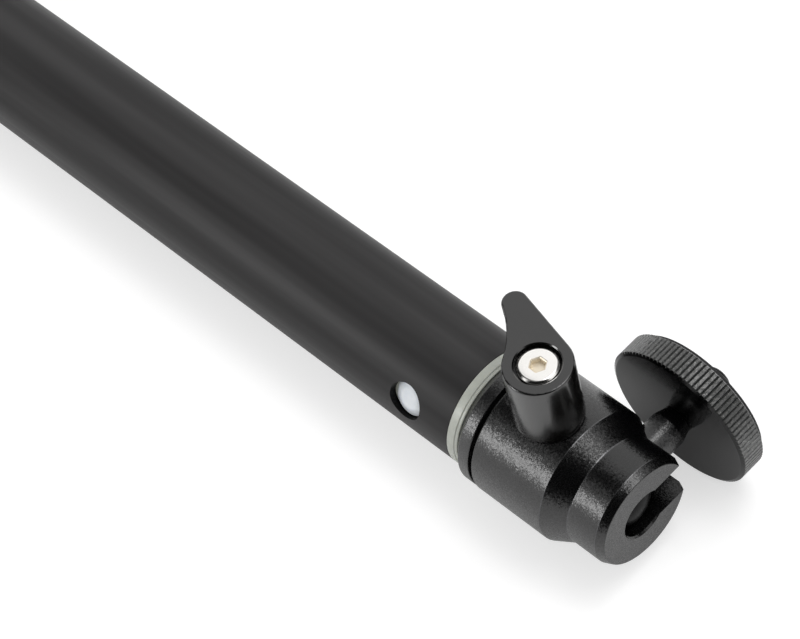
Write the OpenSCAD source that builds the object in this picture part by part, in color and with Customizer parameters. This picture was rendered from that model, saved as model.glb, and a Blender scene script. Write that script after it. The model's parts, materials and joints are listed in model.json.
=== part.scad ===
// Telescopic extension pole for a small action camera, shown collapsed.
// The pole lies along X: its tripod socket is at the origin and its ball head at +X.
// The ball head's notch and camera screw face +Y and its clamp lever stands up along +Z.

/* [Handle] */
// Length of the handle tube
handle_length = 300; // [280:5:360]
// Outer diameter of the handle tube
handle_d = 24; // [22:0.5:26]
// Wall of the handle tube
handle_wall = 1.5; // [1.2:0.1:1.8]
// Length of the rubber grip
grip_length = 120; // [80:5:150]
// Outer diameter of the grip and of the end cap
grip_d = 29.3; // [27:0.1:32]
// Distance between the rings moulded around the grip
grip_ring_pitch = 10; // [6:1:20]
// Depth of each ring in the grip
grip_ring_depth = 0.7; // [0.3:0.1:1]
// Width of each ring in the grip
grip_ring_width = 1.6; // [1:0.1:2.5]
// Thickness of the end cap's flange
cap_flange = 5; // [4:0.5:8]
// Length of the end cap's plug inside the tube
cap_plug = 9; // [7:0.5:10]
// Edge rounding of the end cap
cap_round = 2; // [1:0.25:3]
// Depth of the tripod socket
socket_length = 9; // [8:0.5:12]
// Wall diameter of the quarter inch tripod socket
socket_d = 5.2; // [5.0:0.05:5.4]
// Outer diameter of the socket's metal insert
insert_d = 9; // [8:0.25:11]

/* [Handle bush] */
// Length of the nylon ring in front of the handle tube
bush_flange = 2.4; // [1.5:0.1:4]
// Length of the nylon bush inside the handle tube
bush_plug = 16; // [14:0.5:20]
// Diameter of the hole in the tube wall that holds the bush
nub_hole_d = 7.4; // [6:0.1:8]
// Distance of that hole from the tube's mouth
nub_offset = 10.6; // [8:0.1:11]
// Turn of that hole about the pole, from the top towards -Y
nub_turn = 67.5; // [0:0.5:180]
// How far the bush's locating nub stands up into the hole
nub_height = 0.4; // [0.2:0.1:1]
// Gap between the nub and the hole's wall, all round
nub_gap = 0.15; // [0.1:0.05:0.4]

/* [Inner sections] */
// Outer diameter of the middle tube
mid_d = 19; // [18:0.25:19.5]
// Free length between the end cap and the middle section's lock, with the pole collapsed
mid_clear = 3.5; // [2:0.5:40]
// Outer diameter of the inner tube
inner_d = 15; // [14:0.25:15.5]
// Free length between the two sections' locks, with the pole collapsed
inner_clear = 5.5; // [2:0.5:40]
// Wall of the middle and inner tubes
section_wall = 1; // [0.8:0.1:1.2]
// Length of the nylon ring in front of the middle tube
mid_bush_flange = 1.5; // [1:0.1:2]
// Length of the nylon bush inside the middle tube
mid_bush_plug = 12; // [10:0.5:16]

/* [Twist locks] */
// Length of each expander sleeve
expander_length = 17; // [14:0.5:20]
// Length of the expander's closed end, which holds the thread
expander_nut = 5; // [4:0.5:7]
// Wall of the expander at its open end
expander_wall = 1.8; // [1.4:0.1:2.2]
// Width of the slits that let the expander open
slit_w = 1.2; // [0.8:0.1:2]
// Number of fingers on each expander
finger_count = 4; // [3:1:6]
// Diameter of the lock's thread
lock_thread_d = 5; // [4:0.25:6]
// Wall left between the thread and the start of the taper
taper_step = 0.8; // [0.5:0.1:1.2]
// Thickness of the lock core's shoulder behind the tube
lock_shoulder = 3; // [2:0.5:4]
// Length of the lock core's plug inside the tube
lock_plug = 8; // [6:0.5:8]
// How far the core's end lies inside the expander
core_setback = 1; // [0.5:0.25:2]
// Gap between the core's taper and the expander's, with the lock loose
taper_gap = 0.3; // [0.2:0.05:0.5]

/* [Ball head] */
// Diameter of the base ring
ring_d = 26.4; // [25.5:0.1:28]
// Length of the base ring
ring_length = 3.95; // [3:0.05:5]
// Length of the base ring's back chamfer
ring_chamfer = 1.1; // [0.6:0.1:1.5]
// Groove between the base ring and the housing
pan_gap = 0.85; // [0.5:0.05:1.2]
// How far the washer lies below the groove's edge
groove_depth = 1.5; // [1:0.1:2.5]
// Diameter of the housing
house_d = 26.6; // [26:0.1:28]
// Length of the housing's cylinder
house_length = 16.45; // [16.4:0.05:19]
// Length of the cone between housing and neck
cone_length = 4.4; // [3:0.1:6]
// Diameter of the neck
neck_d = 21.9; // [21:0.1:23]
// Length of the neck
neck_length = 6.4; // [5.5:0.1:8]
// Length of the bevel at the neck's end
bevel_length = 1.65; // [1:0.05:2.5]
// Diameter of the flat end face
face_d = 20.5; // [19:0.1:20.9]
// Rounding of the housing's edges
edge_break = 0.3; // [0.2:0.05:0.6]
// Diameter of the ball
ball_d = 15; // [14:0.1:15.6]
// Distance of the ball's centre below the end face
ball_depth = 8.57; // [8.2:0.01:9.2]
// Diameter of the round mouth
mouth_d = 9.5; // [9:0.1:10.5]
// Bevel around the mouth
mouth_bevel = 0.35; // [0.2:0.05:0.6]
// Width of the notch that lets the stem lie at a right angle
notch_w = 7.8; // [7.6:0.1:8.6]
// Gap between the ball and its cup
ball_gap = 0.05; // [0.03:0.01:0.1]

/* [Pan base] */
// Diameter of the base ring's hub
hub_d = 12; // [11:0.25:12.5]
// Diameter of the pan plate screwed into the housing
plate_d = 19.2; // [18:0.1:20]
// Thickness of the pan plate
plate_t = 3.2; // [3:0.1:4]
// Thickness of the retaining washer on the hub
retainer_t = 1.2; // [1:0.1:1.4]
// How far the retaining washer reaches over the pan plate
retainer_reach = 1.2; // [0.8:0.1:1.3]
// Diameter of the head bolt
head_bolt_d = 5; // [4:0.25:5]
// Head diameter of the countersunk head bolt
head_bolt_head_d = 9.2; // [8.4:0.1:9.6]
// Length of the head bolt
head_bolt_length = 18; // [16:0.5:20]
// Width across flats of the head bolt's hexagon socket
head_hex_flats = 3; // [2.5:0.1:3.2]
// Depth of the head bolt's hexagon socket
head_hex_depth = 1.6; // [1.2:0.1:1.8]
// Length of the plug in the inner tube's end
tip_plug_length = 14; // [13:0.5:20]

/* [Clamp] */
// Distance of the lever's axis from the housing's back edge
lever_offset = 8.75; // [8.6:0.1:9.6]
// Depth of the flat that the lever's barrel stands on
spot_depth = 0.4; // [0.2:0.1:0.8]
// Rim of that flat around the barrel
spot_margin = 0.5; // [0.3:0.1:1]
// Diameter of the lever's barrel
barrel_d = 12.6; // [12:0.1:13]
// Height of the lever above the housing
lever_height = 14.8; // [13:0.1:18]
// Thickness of the lever's arm
arm_t = 3.2; // [2.4:0.1:4]
// Length of the arm from its axis to the centre of its tip
arm_length = 13.8; // [11:0.1:20]
// Radius of the arm's rounded tip
arm_tip_r = 2.35; // [1.8:0.05:3]
// Radius of the arm's hollow side
arm_hollow_r = 20; // [15:0.5:40]
// Turn of the arm about the lever's axis, from +X towards +Y
arm_turn = 149.8; // [0:0.1:360]
// Diameter of the recess in the lever's top
recess_d = 8.4; // [8.1:0.1:9]
// Depth of that recess
recess_depth = 2.4; // [2.2:0.1:3]
// Diameter of the lever screw
lever_screw_d = 4; // [3:0.25:4]
// Length of the lever screw's shank
lever_screw_length = 12; // [10:0.5:12]
// Head diameter of the lever screw
screw_head_d = 7.6; // [7:0.1:7.8]
// Head height of the lever screw
screw_head_h = 2.2; // [1.8:0.1:2.4]
// Chamfer around the top of that head
screw_crown = 0.7; // [0.3:0.1:1]
// Width across flats of the screw's hexagon socket
hex_flats = 2.5; // [2:0.1:3]
// Depth of the hexagon socket
hex_depth = 1.3; // [1:0.1:1.6]
// Outer diameter of the splines that turn the clamp bolt
spline_d = 9; // [8:0.1:9.4]
// Height of the splines
spline_length = 6.5; // [5:0.5:8]
// Number of splines
spline_count = 12; // [8:1:18]
// Depth of each spline
spline_depth = 0.6; // [0.4:0.05:0.8]
// Diameter of the clamp bolt
clamp_d = 6; // [5.5:0.25:6.5]
// Length of the cone at the clamp bolt's tip
clamp_cone = 2.2; // [1.8:0.1:2.5]
// How far the clamp bolt's thread reaches into the ball seat
clamp_reach = 0.5; // [0.3:0.1:1]
// Gap between the clamp bolt's tip and the ball seat
clamp_gap = 0.35; // [0.3:0.05:0.5]
// Distance of the ball seat's rim from the ball's centre
seat_rim = 4.6; // [4.2:0.1:5.2]
// Gap behind the ball seat
seat_back_gap = 0.4; // [0.4:0.05:0.7]

/* [Stem and platform] */
// Diameter of the ball's stem inside the notch
stem_d = 7.2; // [6.4:0.1:7.2]
// Diameter of the stem where it meets the wheel
stem_tip_d = 5.6; // [5.6:0.1:6.4]
// Length of the stem's straight part from the ball's centre
stem_straight = 15.5; // [11.5:0.1:16]
// Distance from the ball's centre to the wheel's underside
wheel_offset = 18.15; // [17.5:0.05:22]
// Diameter of the knurled wheel
wheel_d = 30.4; // [27:0.1:32]
// Thickness of the knurled wheel
wheel_t = 5.4; // [4.5:0.1:8]
// Number of ridges around the wheel
ridge_count = 96; // [60:2:120]
// Depth of each ridge
ridge_depth = 0.4; // [0.2:0.05:0.6]
// Share of a ridge's pitch that its flat top takes
ridge_land = 0.55; // [0.2:0.05:0.6]
// Height of the bevels above and below the ridges
wheel_bevel = 0.45; // [0.2:0.05:0.8]
// Thickness of the rubber pad on the wheel
pad_t = 0.7; // [0.3:0.1:1]
// Rim of the wheel left bare around the pad
pad_margin = 0.3; // [0.3:0.1:2]
// Diameter of the quarter inch camera screw
screw_d = 6.35; // [6.3:0.05:6.4]
// Length of the camera screw above the pad
screw_length = 5.2; // [4.5:0.1:8]
// Chamfer at the camera screw's end
screw_chamfer = 0.6; // [0.3:0.1:1]
// Diameter of the screw's neck inside the wheel
screw_neck_d = 6; // [5:0.25:6.25]
// Diameter of the screw's shank inside the stem
shank_d = 4; // [3:0.25:4]
// Length of that shank inside the stem
shank_length = 4.6; // [4:0.1:4.6]

/* [Hidden] */
$fn = 96;

// Clearances: pressed or glued pieces, running fits, faces that nearly touch and play at a face's end
press_gap = 0.02;
run_gap = 0.05;
face_gap = 0.05;
end_play = 0.2;
// Depth by which two rounded outlines cross where they would only touch
bite = 0.02;
// Overlap that lets a cut pass clean through a face
cut = 1;

tube_x = cap_flange;
mouth_x = tube_x + handle_length;
handle_r = handle_d / 2;
handle_bore_r = handle_r - handle_wall;
mid_r = mid_d / 2;
mid_bore_r = mid_r - section_wall;
inner_r = inner_d / 2;
inner_bore_r = inner_r - section_wall;

bush_front_x = mouth_x + bush_flange;
ring_back_x = bush_front_x + face_gap;
ring_front_x = ring_back_x + ring_length;
house_x = ring_front_x + pan_gap;
cone_x = house_x + house_length;
neck_x = cone_x + cone_length;
bevel_x = neck_x + neck_length;
face_x = bevel_x + bevel_length;
ball_x = face_x - ball_depth;
lever_x = house_x + lever_offset;

lock_below = expander_length + end_play + lock_shoulder;
mid_bush_front_x = bush_front_x - end_play;
mid_end_x = mid_bush_front_x - mid_bush_flange;
mid_start_x = cap_flange + cap_plug + mid_clear + lock_below;
inner_end_x = ring_back_x;
inner_start_x = mid_start_x + lock_plug + inner_clear + lock_below;

ball_r = ball_d / 2;
cup_r = ball_r + ball_gap;
house_r = house_d / 2;
neck_r = neck_d / 2;
plate_top_x = house_x + plate_t;
hub_top_x = plate_top_x + end_play;
retainer_top_x = hub_top_x + retainer_t;
lever_bottom_z = house_r - spot_depth + end_play;
lever_top_z = house_r + lever_height;
seat_r = cup_r - run_gap;
seat_front_x = ball_x - seat_rim;
clamp_tip_z = seat_r - clamp_reach;
screw_seat_z = lever_top_z - recess_depth;
screw_tip_z = screw_seat_z - lever_screw_length;
wheel_r = wheel_d / 2;
wheel_top = wheel_offset + wheel_t;
pad_top = wheel_top + pad_t;

// Lays a solid of revolution, drawn along Z, along the pole at x
module along_pole(x) {
    translate([x, 0, 0]) rotate([0, 90, 0]) children();
}

// Turns a solid drawn along Z about the ball's centre so that it points along +Y
module along_stem() {
    translate([ball_x, 0, 0]) rotate([-90, 0, 0]) children();
}

// Solid of revolution from an outline of [radius, height] points
module turned(outline) {
    rotate_extrude() polygon(outline);
}

module tube(outer_r, bore_r, length) {
    turned([[bore_r, 0], [outer_r, 0], [outer_r, length], [bore_r, length]]);
}

// Places a radial drill, drawn along Z, in the handle's wall where the bush is held
module at_nub() {
    translate([mouth_x - nub_offset, 0, 0]) rotate([nub_turn, 0, 0]) children();
}

module handle_tube() {
    color("#3c3d3f")
    difference() {
        along_pole(tube_x) tube(handle_r, handle_bore_r, handle_length);
        at_nub() cylinder(d = nub_hole_d, h = handle_r + cut);
    }
}

module handle_bush() {
    plug_r = handle_bore_r - press_gap;
    bore_r = mid_r + run_gap;
    color("#d8d9d2") {
        difference() {
            union() {
                along_pole(mouth_x - bush_plug) tube(plug_r, bore_r, bush_plug + bush_flange);
                along_pole(mouth_x) tube(handle_r, bore_r, bush_flange);
                at_nub() cylinder(d = nub_hole_d - 2 * nub_gap, h = handle_bore_r + nub_height);
            }
            along_pole(mouth_x - bush_plug - cut) cylinder(r = bore_r, h = bush_plug + bush_flange + 2 * cut);
        }
    }
}

module grip_sleeve() {
    grip_r = grip_d / 2;
    bore_r = handle_r + press_gap;
    rim = grip_ring_width / 2;
    rings = floor((grip_length - grip_ring_pitch) / grip_ring_pitch);
    color("#232325")
    difference() {
        along_pole(tube_x)
            turned([[bore_r, 0], [grip_r, 0], [grip_r, grip_length - rim], [grip_r - rim, grip_length],
                [bore_r, grip_length]]);
        for (i = [1:rings])
            along_pole(tube_x + i * grip_ring_pitch)
                turned([[grip_r + cut, -rim - cut], [grip_r - grip_ring_depth, 0],
                    [grip_r + cut, rim + cut]]);
    }
}

module end_cap() {
    cap_r = grip_d / 2;
    plug_r = handle_bore_r - press_gap;
    recess_r = insert_d / 2 + press_gap;
    color("#2a2a2c")
    difference() {
        union() {
            along_pole(cap_round) cylinder(r = cap_r, h = cap_flange - cap_round);
            along_pole(0)
                rotate_extrude() {
                    square([cap_r - cap_round, cap_round]);
                    intersection() {
                        translate([cap_r - cap_round, cap_round]) circle(r = cap_round);
                        square([cap_r, cap_round]);
                    }
                }
            along_pole(cap_flange) cylinder(r = plug_r, h = cap_plug);
        }
        along_pole(-cut) cylinder(r = recess_r, h = socket_length + cut);
    }
}

module tripod_insert() {
    color("#b8974f")
    along_pole(0) tube(insert_d / 2, socket_d / 2, socket_length);
}

// Split nylon sleeve whose taper is opened by the lock core, drawn along Z
module expander(grip_r) {
    mouth_r = grip_r - expander_wall;
    throat_r = lock_thread_d / 2 + taper_step;
    color("#c9cbc4")
    difference() {
        cylinder(r = grip_r, h = expander_length);
        translate([0, 0, -cut]) cylinder(d = lock_thread_d + 2 * run_gap, h = expander_length);
        translate([0, 0, expander_nut])
            turned([[0, 0], [throat_r, 0], [mouth_r, expander_length - expander_nut],
                [mouth_r, expander_length - expander_nut + cut], [0, expander_length - expander_nut + cut]]);
        for (i = [0:finger_count - 1])
            rotate(i * 360 / finger_count)
                translate([0, -slit_w / 2, expander_nut]) cube([grip_r + cut, slit_w, expander_length]);
    }
}

// Tapered core that screws into the expander and is fixed in its own tube, drawn along Z
module lock_core(grip_r, tube_r, bore_r) {
    mouth_r = grip_r - expander_wall;
    throat_r = lock_thread_d / 2 + taper_step;
    taper_length = expander_length - expander_nut;
    shoulder_z = expander_length + end_play;
    color("#8f9290")
    turned([[0, core_setback], [lock_thread_d / 2, core_setback],
        [lock_thread_d / 2, expander_nut + taper_gap],
        [throat_r - taper_gap, expander_nut + taper_gap], [mouth_r - taper_gap, expander_nut + taper_length],
        [mouth_r - taper_gap, shoulder_z], [tube_r, shoulder_z], [tube_r, shoulder_z + lock_shoulder],
        [bore_r - press_gap, shoulder_z + lock_shoulder],
        [bore_r - press_gap, shoulder_z + lock_shoulder + lock_plug],
        [0, shoulder_z + lock_shoulder + lock_plug]]);
}

module mid_expander() {
    along_pole(mid_start_x - lock_below) expander(handle_bore_r - run_gap);
}

module mid_lock_core() {
    along_pole(mid_start_x - lock_below) lock_core(handle_bore_r - run_gap, mid_r, mid_bore_r);
}

module mid_tube() {
    color("#47484a") along_pole(mid_start_x) tube(mid_r, mid_bore_r, mid_end_x - mid_start_x);
}

module mid_bush() {
    bore_r = inner_r + run_gap;
    color("#d8d9d2")
    along_pole(mid_end_x)
        turned([[bore_r, -mid_bush_plug], [mid_bore_r - press_gap, -mid_bush_plug],
            [mid_bore_r - press_gap, 0], [mid_r, 0], [mid_r, mid_bush_flange], [bore_r, mid_bush_flange]]);
}

module inner_expander() {
    along_pole(inner_start_x - lock_below) expander(mid_bore_r - run_gap);
}

module inner_lock_core() {
    along_pole(inner_start_x - lock_below) lock_core(mid_bore_r - run_gap, inner_r, inner_bore_r);
}

module inner_tube() {
    color("#47484a") along_pole(inner_start_x) tube(inner_r, inner_bore_r, inner_end_x - inner_start_x);
}

module tip_plug() {
    color("#a9abad")
    along_pole(inner_end_x - tip_plug_length)
        tube(inner_bore_r - press_gap, head_bolt_d / 2 + press_gap, tip_plug_length);
}

// Head of the countersunk bolt, drawn along Z with its top at the retaining washer's face
module countersunk_head(grow) {
    depth = (head_bolt_head_d - head_bolt_d) / 2;
    translate([0, 0, retainer_top_x - depth])
        cylinder(r1 = head_bolt_d / 2 + grow, r2 = head_bolt_head_d / 2 + grow, h = depth);
}

// Hole for the head bolt through the hub and the retaining washer, drawn along Z
module head_bolt_hole() {
    countersunk_head(press_gap);
    translate([0, 0, retainer_top_x]) cylinder(r = head_bolt_head_d / 2 + press_gap, h = cut);
    translate([0, 0, ring_back_x - cut])
        cylinder(d = head_bolt_d + 2 * press_gap, h = retainer_top_x - ring_back_x);
}

module base_ring() {
    ring_r = ring_d / 2;
    hub_h = hub_top_x - ring_back_x;
    color("#2e2e31")
    difference() {
        along_pole(ring_back_x)
            turned([[0, 0], [handle_r - face_gap, 0], [ring_r, ring_chamfer], [ring_r, ring_length],
                [hub_d / 2, ring_length], [hub_d / 2, hub_h], [0, hub_h]]);
        along_pole(0) head_bolt_hole();
    }
}

module pan_washer() {
    color("#151516")
    along_pole(ring_front_x + face_gap)
        tube(house_r - groove_depth, hub_d / 2 + run_gap, pan_gap - 2 * face_gap);
}

module pan_plate() {
    color("#6e7073")
    along_pole(house_x) tube(plate_d / 2, hub_d / 2 + run_gap, plate_t);
}

module pan_retainer() {
    color("#a9abad")
    difference() {
        along_pole(hub_top_x) cylinder(r = hub_d / 2 + retainer_reach, h = retainer_t);
        along_pole(0) head_bolt_hole();
    }
}

module head_bolt() {
    color("#8b8d90")
    along_pole(0)
        difference() {
            union() {
                countersunk_head(0);
                translate([0, 0, retainer_top_x - head_bolt_length])
                    cylinder(d = head_bolt_d, h = head_bolt_length - retainer_t);
            }
            translate([0, 0, retainer_top_x - head_hex_depth])
                cylinder(d = head_hex_flats / cos(30), h = head_hex_depth + cut, $fn = 6);
        }
}

module head_housing() {
    color("#4a4a4c")
    difference() {
        along_pole(0)
            turned([[0, house_x], [house_r - edge_break, house_x], [house_r, house_x + edge_break],
                [house_r, cone_x], [neck_r, neck_x], [neck_r, bevel_x], [face_d / 2, face_x], [0, face_x]]);
        // Bore for the seat, cup for the ball and round mouth
        along_pole(plate_top_x - cut) cylinder(r = cup_r, h = ball_x - plate_top_x + cut);
        translate([ball_x, 0, 0]) rotate([0, 90, 0]) sphere(r = cup_r);
        along_pole(ball_x) cylinder(d = mouth_d, h = ball_depth + cut);
        along_pole(face_x - mouth_bevel)
            cylinder(r1 = mouth_d / 2, r2 = mouth_d / 2 + mouth_bevel + cut, h = mouth_bevel + cut);
        // Thread for the pan plate
        along_pole(house_x - cut) cylinder(r = plate_d / 2 + press_gap, h = plate_t + cut);
        // Notch with a round end, open at the face
        translate([ball_x, 0, -notch_w / 2]) cube([ball_depth + cut, neck_r + house_r, notch_w]);
        translate([ball_x, 0, 0]) rotate([-90, 0, 0]) cylinder(d = notch_w, h = neck_r + house_r);
        // Threaded hole for the clamp bolt and the flat under the lever
        translate([lever_x, 0, 0]) cylinder(r = clamp_d / 2 + run_gap, h = house_r + cut);
        translate([lever_x, 0, house_r - spot_depth]) cylinder(r = barrel_d / 2 + spot_margin, h = house_r);
    }
}

module ball_seat() {
    back_x = retainer_top_x + seat_back_gap;
    tip_r = clamp_d / 2;
    pocket_h = clamp_cone + clamp_gap;
    color("#d9d4c4")
    difference() {
        along_pole(back_x) cylinder(r = seat_r, h = seat_front_x - back_x);
        translate([ball_x, 0, 0]) sphere(r = cup_r);
        translate([lever_x, 0, clamp_tip_z - pocket_h])
            cylinder(r1 = tip_r - clamp_cone, r2 = tip_r + clamp_gap, h = pocket_h);
        translate([lever_x, 0, clamp_tip_z]) cylinder(r = tip_r + clamp_gap, h = clamp_reach + cut);
    }
}

// Splined outline shared by the clamp bolt and its socket in the lever
module spline_outline(grow) {
    tip_r = spline_d / 2 + grow;
    root_r = tip_r - spline_depth;
    quarter = 360 / spline_count / 4;
    polygon([for (i = [0:4:4 * spline_count - 1]) each [
        [root_r * cos(i * quarter), root_r * sin(i * quarter)],
        [tip_r * cos((i + 1) * quarter), tip_r * sin((i + 1) * quarter)],
        [tip_r * cos((i + 2) * quarter), tip_r * sin((i + 2) * quarter)],
        [root_r * cos((i + 3) * quarter), root_r * sin((i + 3) * quarter)]]]);
}

module clamp_bolt() {
    tip_r = clamp_d / 2;
    spline_z = lever_bottom_z + end_play;
    color("#9a9c9f")
    translate([lever_x, 0, 0])
        difference() {
            union() {
                translate([0, 0, spline_z]) linear_extrude(height = spline_length) spline_outline(0);
                translate([0, 0, clamp_tip_z]) cylinder(r = tip_r, h = spline_z - clamp_tip_z);
                translate([0, 0, clamp_tip_z - clamp_cone])
                    cylinder(r1 = tip_r - clamp_cone, r2 = tip_r, h = clamp_cone);
            }
            translate([0, 0, screw_tip_z - end_play])
                cylinder(d = lever_screw_d + 2 * press_gap, h = lever_screw_length);
        }
}

// Outline of the lever's arm, from the barrel's axis: straight on one side and hollow on the other
module arm_outline() {
    barrel_r = barrel_d / 2;
    lean = asin((barrel_r - arm_tip_r) / arm_length);
    side = [sin(lean), -cos(lean)];
    to_barrel = barrel_r + arm_hollow_r;
    to_tip = arm_tip_r + arm_hollow_r;
    hollow_u = (to_barrel * to_barrel - to_tip * to_tip + arm_length * arm_length) / (2 * arm_length);
    hollow = [hollow_u, sqrt(to_barrel * to_barrel - hollow_u * hollow_u)];
    tip = [arm_length, 0];
    difference() {
        union() {
            translate(tip) circle(r = arm_tip_r);
            polygon([[0, 0], side * (barrel_r - bite), tip + side * (arm_tip_r - bite), tip, hollow]);
        }
        translate(hollow) circle(r = arm_hollow_r + bite, $fn = 180);
    }
}

module lever() {
    barrel_r = barrel_d / 2;
    barrel_h = lever_top_z - lever_bottom_z;
    socket_h = spline_length + end_play;
    color("#515254")
    translate([lever_x, 0, 0])
        difference() {
            union() {
                translate([0, 0, lever_bottom_z])
                    turned([[0, 0], [barrel_r - edge_break, 0], [barrel_r, edge_break],
                        [barrel_r, barrel_h], [0, barrel_h]]);
                translate([0, 0, lever_top_z - arm_t])
                    linear_extrude(height = arm_t) rotate(arm_turn) arm_outline();
            }
            translate([0, 0, screw_seat_z]) cylinder(d = recess_d, h = recess_depth + cut);
            translate([0, 0, lever_bottom_z - cut])
                cylinder(d = lever_screw_d + 2 * run_gap, h = lever_top_z);
            translate([0, 0, lever_bottom_z - cut])
                linear_extrude(height = socket_h + cut) spline_outline(press_gap);
        }
}

module lever_screw() {
    head_r = screw_head_d / 2;
    color("#e6e4df")
    translate([lever_x, 0, screw_seat_z])
        difference() {
            turned([[0, -lever_screw_length], [lever_screw_d / 2, -lever_screw_length],
                [lever_screw_d / 2, 0], [head_r, 0], [head_r, screw_head_h - screw_crown],
                [head_r - screw_crown, screw_head_h], [0, screw_head_h]]);
            translate([0, 0, screw_head_h - hex_depth])
                cylinder(d = hex_flats / cos(30), h = hex_depth + cut, $fn = 6);
        }
}

module ball_stem() {
    stem_end = wheel_offset - face_gap;
    color("#5a5b5d")
    along_stem()
        difference() {
            union() {
                sphere(r = ball_r);
                turned([[0, 0], [stem_d / 2, 0], [stem_d / 2, stem_straight], [stem_tip_d / 2, stem_end],
                    [0, stem_end]]);
            }
            translate([0, 0, wheel_offset - shank_length - end_play])
                cylinder(d = shank_d + 2 * run_gap, h = shank_length + cut);
        }
}

// Straight knurling: evenly spaced ridges with flat tops
module ridge_outline() {
    root_r = wheel_r - ridge_depth;
    step = 360 / ridge_count;
    rise = (1 - ridge_land) / 2;
    fall = rise + ridge_land;
    polygon([for (i = [0:ridge_count - 1]) each [
        [root_r * cos(i * step), root_r * sin(i * step)],
        [wheel_r * cos((i + rise) * step), wheel_r * sin((i + rise) * step)],
        [wheel_r * cos((i + fall) * step), wheel_r * sin((i + fall) * step)]]]);
}

module platform_wheel() {
    rim_r = wheel_r - ridge_depth - face_gap;
    color("#5f6062")
    along_stem()
        difference() {
            union() {
                translate([0, 0, wheel_offset + wheel_bevel])
                    linear_extrude(height = wheel_t - 2 * wheel_bevel) ridge_outline();
                translate([0, 0, wheel_offset])
                    cylinder(r1 = rim_r - wheel_bevel, r2 = rim_r, h = wheel_bevel);
                translate([0, 0, wheel_top - wheel_bevel])
                    cylinder(r1 = rim_r, r2 = rim_r - wheel_bevel, h = wheel_bevel);
            }
            translate([0, 0, wheel_offset - cut])
                cylinder(d = screw_neck_d + 2 * press_gap, h = wheel_t + 2 * cut);
        }
}

module platform_pad() {
    color("#303032")
    along_stem()
        translate([0, 0, wheel_top])
            tube(wheel_r - ridge_depth - wheel_bevel - pad_margin, screw_d / 2 + run_gap, pad_t);
}

module camera_screw() {
    screw_r = screw_d / 2;
    color("#3a3a3c")
    along_stem()
        turned([[0, wheel_offset - shank_length], [shank_d / 2, wheel_offset - shank_length],
            [shank_d / 2, wheel_offset], [screw_neck_d / 2, wheel_offset], [screw_neck_d / 2, pad_top],
            [screw_r, pad_top], [screw_r, pad_top + screw_length - screw_chamfer],
            [screw_r - screw_chamfer, pad_top + screw_length], [0, pad_top + screw_length]]);
}

handle_tube();
handle_bush();
grip_sleeve();
end_cap();
tripod_insert();
mid_expander();
mid_lock_core();
mid_tube();
mid_bush();
inner_expander();
inner_lock_core();
inner_tube();
tip_plug();
base_ring();
pan_washer();
pan_plate();
pan_retainer();
head_bolt();
head_housing();
ball_seat();
clamp_bolt();
lever();
lever_screw();
ball_stem();
platform_wheel();
platform_pad();
camera_screw();
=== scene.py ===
"""Looks of a collapsed telescopic camera pole with a ball head and a knurled camera wheel.

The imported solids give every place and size. The visible pieces are turned, cut and threaded
again here with finer edges, and every surface gets its own procedural finish.
"""
import json
import logging
import math
from dataclasses import dataclass, field
from enum import Enum
from itertools import repeat
from typing import Iterable

import bmesh
import bpy
from mathutils import Matrix, Vector


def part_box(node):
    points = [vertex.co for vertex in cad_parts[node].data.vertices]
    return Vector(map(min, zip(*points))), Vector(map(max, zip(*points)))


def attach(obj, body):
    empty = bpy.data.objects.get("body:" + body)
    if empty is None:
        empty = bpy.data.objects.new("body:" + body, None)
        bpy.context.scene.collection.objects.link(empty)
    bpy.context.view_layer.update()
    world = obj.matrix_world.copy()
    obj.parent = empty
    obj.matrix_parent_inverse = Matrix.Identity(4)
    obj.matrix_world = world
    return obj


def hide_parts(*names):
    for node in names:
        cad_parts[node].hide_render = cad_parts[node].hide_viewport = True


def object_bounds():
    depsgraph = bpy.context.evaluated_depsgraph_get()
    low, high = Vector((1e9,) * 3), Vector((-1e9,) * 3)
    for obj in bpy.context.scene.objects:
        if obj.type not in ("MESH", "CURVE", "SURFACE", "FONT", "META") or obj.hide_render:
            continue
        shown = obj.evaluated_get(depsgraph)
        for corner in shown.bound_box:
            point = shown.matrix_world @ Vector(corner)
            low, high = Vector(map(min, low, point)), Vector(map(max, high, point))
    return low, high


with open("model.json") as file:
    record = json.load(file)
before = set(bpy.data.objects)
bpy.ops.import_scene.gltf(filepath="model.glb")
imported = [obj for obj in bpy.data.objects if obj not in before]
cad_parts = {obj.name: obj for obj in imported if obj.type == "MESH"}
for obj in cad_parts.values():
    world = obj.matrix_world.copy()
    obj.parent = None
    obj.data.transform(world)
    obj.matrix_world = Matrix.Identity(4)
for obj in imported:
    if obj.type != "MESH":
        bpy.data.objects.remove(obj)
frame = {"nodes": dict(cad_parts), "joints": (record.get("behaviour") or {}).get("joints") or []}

Thing = bpy.types.Object
Socket = bpy.types.NodeSocket
Triple = tuple[float, float, float]
Feeds = dict[str | int, object]

log = logging.getLogger("pole")
MM = 0.001
CAD_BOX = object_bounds()


class Corner(Enum):
    """How a corner of a turned outline is finished."""

    SHARP = 0.0
    BROKEN = 0.15
    EASED = 0.3


@dataclass(frozen=True)
class Span:
    """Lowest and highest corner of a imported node, in millimetres."""

    low: Triple
    high: Triple

    @staticmethod
    def of(node: str) -> "Span":
        """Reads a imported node's box."""
        low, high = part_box(node)
        return Span(tuple(v / MM for v in low), tuple(v / MM for v in high))

    def radius(self, axis: int) -> float:
        """Half the width across the given axis index."""
        return (self.high[axis] - self.low[axis]) / 2

    def along(self, axis: int) -> Triple:
        """Radius, start and end of a piece turned about the X or Y axis, by the axis's index."""
        return self.radius(1 - axis), self.low[axis], self.high[axis]


def joint_point(name: str) -> Vector:
    """Reads a point on a joint's axis, in millimetres."""
    joint = next(j for j in frame["joints"] if j["name"] == name)
    return Vector(joint["pos_m"]) / MM


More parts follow.
